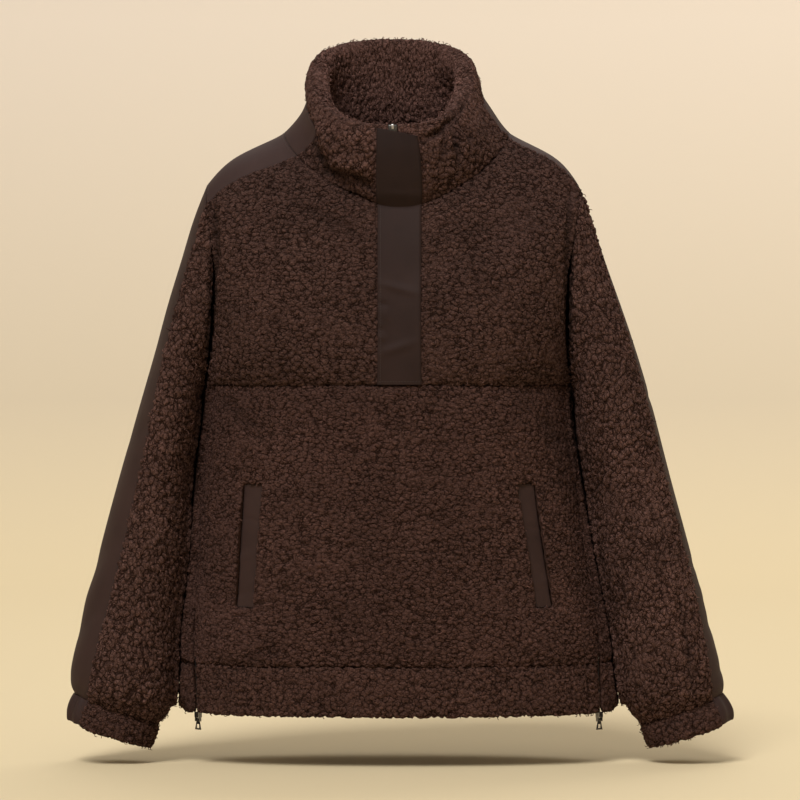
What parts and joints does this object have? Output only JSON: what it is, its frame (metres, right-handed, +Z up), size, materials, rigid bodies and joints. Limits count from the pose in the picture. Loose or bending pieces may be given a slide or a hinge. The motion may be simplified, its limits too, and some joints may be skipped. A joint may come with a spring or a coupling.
{
  "type": "quarter-zip fleece",
  "caption": "Hollow pullover in curly sherpa pile with smooth woven shoulder and sleeve strips, high collar, covered chest zip, welt pockets and side hem zips",
  "frame": {"origin": "between the shoulders, at the level of the neck seam, where the wearer's shoulders hold the garment", "axes": "+Z up towards the collar, -Y the way the wearer faces, +X the wearer's left"},
  "size_m": [0.7532, 0.2509, 0.8008],
  "materials": {
    "front_yoke_left": "curly sherpa pile on a knitted backing",
    "front_yoke_right": "curly sherpa pile on a knitted backing",
    "front_lower": "curly sherpa pile on a knitted backing",
    "back": "curly sherpa pile on a knitted backing",
    "hem_band_front": "curly sherpa pile on a knitted backing",
    "hem_band_back": "curly sherpa pile on a knitted backing",
    "sleeve_front_left": "curly sherpa pile on a knitted backing",
    "sleeve_back_left": "curly sherpa pile on a knitted backing",
    "sleeve_front_right": "curly sherpa pile on a knitted backing",
    "sleeve_back_right": "curly sherpa pile on a knitted backing",
    "cuff_left": "curly sherpa pile on a knitted backing",
    "cuff_right": "curly sherpa pile on a knitted backing",
    "collar_front_left": "curly sherpa pile on a knitted backing",
    "collar_front_right": "curly sherpa pile on a knitted backing",
    "collar_back": "curly sherpa pile on a knitted backing",
    "shoulder_strip_left": "smooth plain-woven nylon-like cloth",
    "shoulder_strip_right": "smooth plain-woven nylon-like cloth",
    "sleeve_strip_left": "smooth plain-woven nylon-like cloth",
    "sleeve_strip_right": "smooth plain-woven nylon-like cloth",
    "cuff_strip_left": "smooth plain-woven nylon-like cloth",
    "cuff_strip_right": "smooth plain-woven nylon-like cloth",
    "collar_strip_left": "smooth plain-woven nylon-like cloth",
    "collar_strip_right": "smooth plain-woven nylon-like cloth",
    "zip_fly": "smooth plain-woven nylon-like cloth",
    "pocket_welt_left": "smooth plain-woven nylon-like cloth",
    "pocket_welt_right": "smooth plain-woven nylon-like cloth",
    "front_zip": "coil zip",
    "side_zip_left": "coil zip",
    "side_zip_right": "coil zip",
    "front_slider": "gunmetal",
    "front_pull": "gunmetal",
    "side_slider_left": "gunmetal",
    "side_slider_right": "gunmetal",
    "side_pull_left": "gunmetal",
    "side_pull_right": "gunmetal"
  },
  "bodies": {
    "garment": {"front_yoke_left": "front_yoke_left", "front_yoke_right": "front_yoke_right", "front_lower": "front_lower", "back": "back", "hem_band_front": "hem_band_front", "hem_band_back": "hem_band_back", "sleeve_front_left": "sleeve_front_left", "sleeve_back_left": "sleeve_back_left", "sleeve_front_right": "sleeve_front_right", "sleeve_back_right": "sleeve_back_right", "cuff_left": "cuff_left", "cuff_right": "cuff_right", "collar_front_left": "collar_front_left", "collar_front_right": "collar_front_right", "collar_back": "collar_back", "shoulder_strip_left": "shoulder_strip_left", "shoulder_strip_right": "shoulder_strip_right", "sleeve_strip_left": "sleeve_strip_left", "sleeve_strip_right": "sleeve_strip_right", "cuff_strip_left": "cuff_strip_left", "cuff_strip_right": "cuff_strip_right", "collar_strip_left": "collar_strip_left", "collar_strip_right": "collar_strip_right", "zip_fly": "zip_fly", "pocket_welt_left": "pocket_welt_left", "pocket_welt_right": "pocket_welt_right", "front_zip": "front_zip", "side_zip_left": "side_zip_left", "side_zip_right": "side_zip_right", "front_slider": "front_slider", "front_pull": "front_pull", "side_slider_left": "side_slider_left", "side_slider_right": "side_slider_right"},
    "pull_left": {"side_pull_left": "side_pull_left"},
    "pull_right": {"side_pull_right": "side_pull_right"}
  },
  "joints": [
    {"name": "side_pull_left_swing", "type": "hinge", "parent": "garment", "child": "pull_left", "pos_m": [0.22288, -0.0453, -0.6491], "axis": [0.65, 0.7599, 0], "range_deg": [-75, 75]},
    {"name": "side_pull_right_swing", "type": "hinge", "parent": "garment", "child": "pull_right", "pos_m": [-0.2258, -0.04529, -0.6491], "axis": [0.6454, -0.7639, 0], "range_deg": [-75, 75]}
  ]
}
